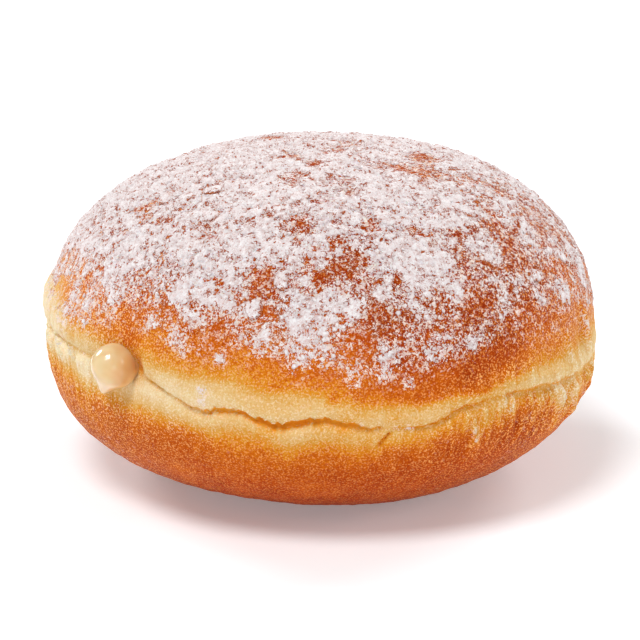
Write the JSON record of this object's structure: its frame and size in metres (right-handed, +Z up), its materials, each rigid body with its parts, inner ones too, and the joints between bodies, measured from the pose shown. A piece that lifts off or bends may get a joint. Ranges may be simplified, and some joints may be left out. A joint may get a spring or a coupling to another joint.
{
  "type": "maple cream doughnut",
  "caption": "Round fried yeast doughnut without a hole, split along its pale waist, filled from the side with maple cream and dusted with icing sugar.",
  "frame": {"origin": "on the table under the middle of the doughnut's box, at the level of its flat foot", "axes": "+Z up, square to the foot; -Y towards the front, where the main split runs; +X to the right of that front, so the cream is at the front left"},
  "size_m": [0.0888, 0.0892, 0.0526],
  "materials": {
    "crust": "fried yeast dough: golden brown cap and base with a fine wrinkled skin, and a pale belt round the waist",
    "cream": "smooth maple cream, pale beige with a wet gloss",
    "sugar": "icing sugar: a matt white powder, dusted in an uneven film with small clumps"
  },
  "bodies": {
    "root": {"dough": "crust", "maple_cream": "cream"}
  },
  "joints": []
}
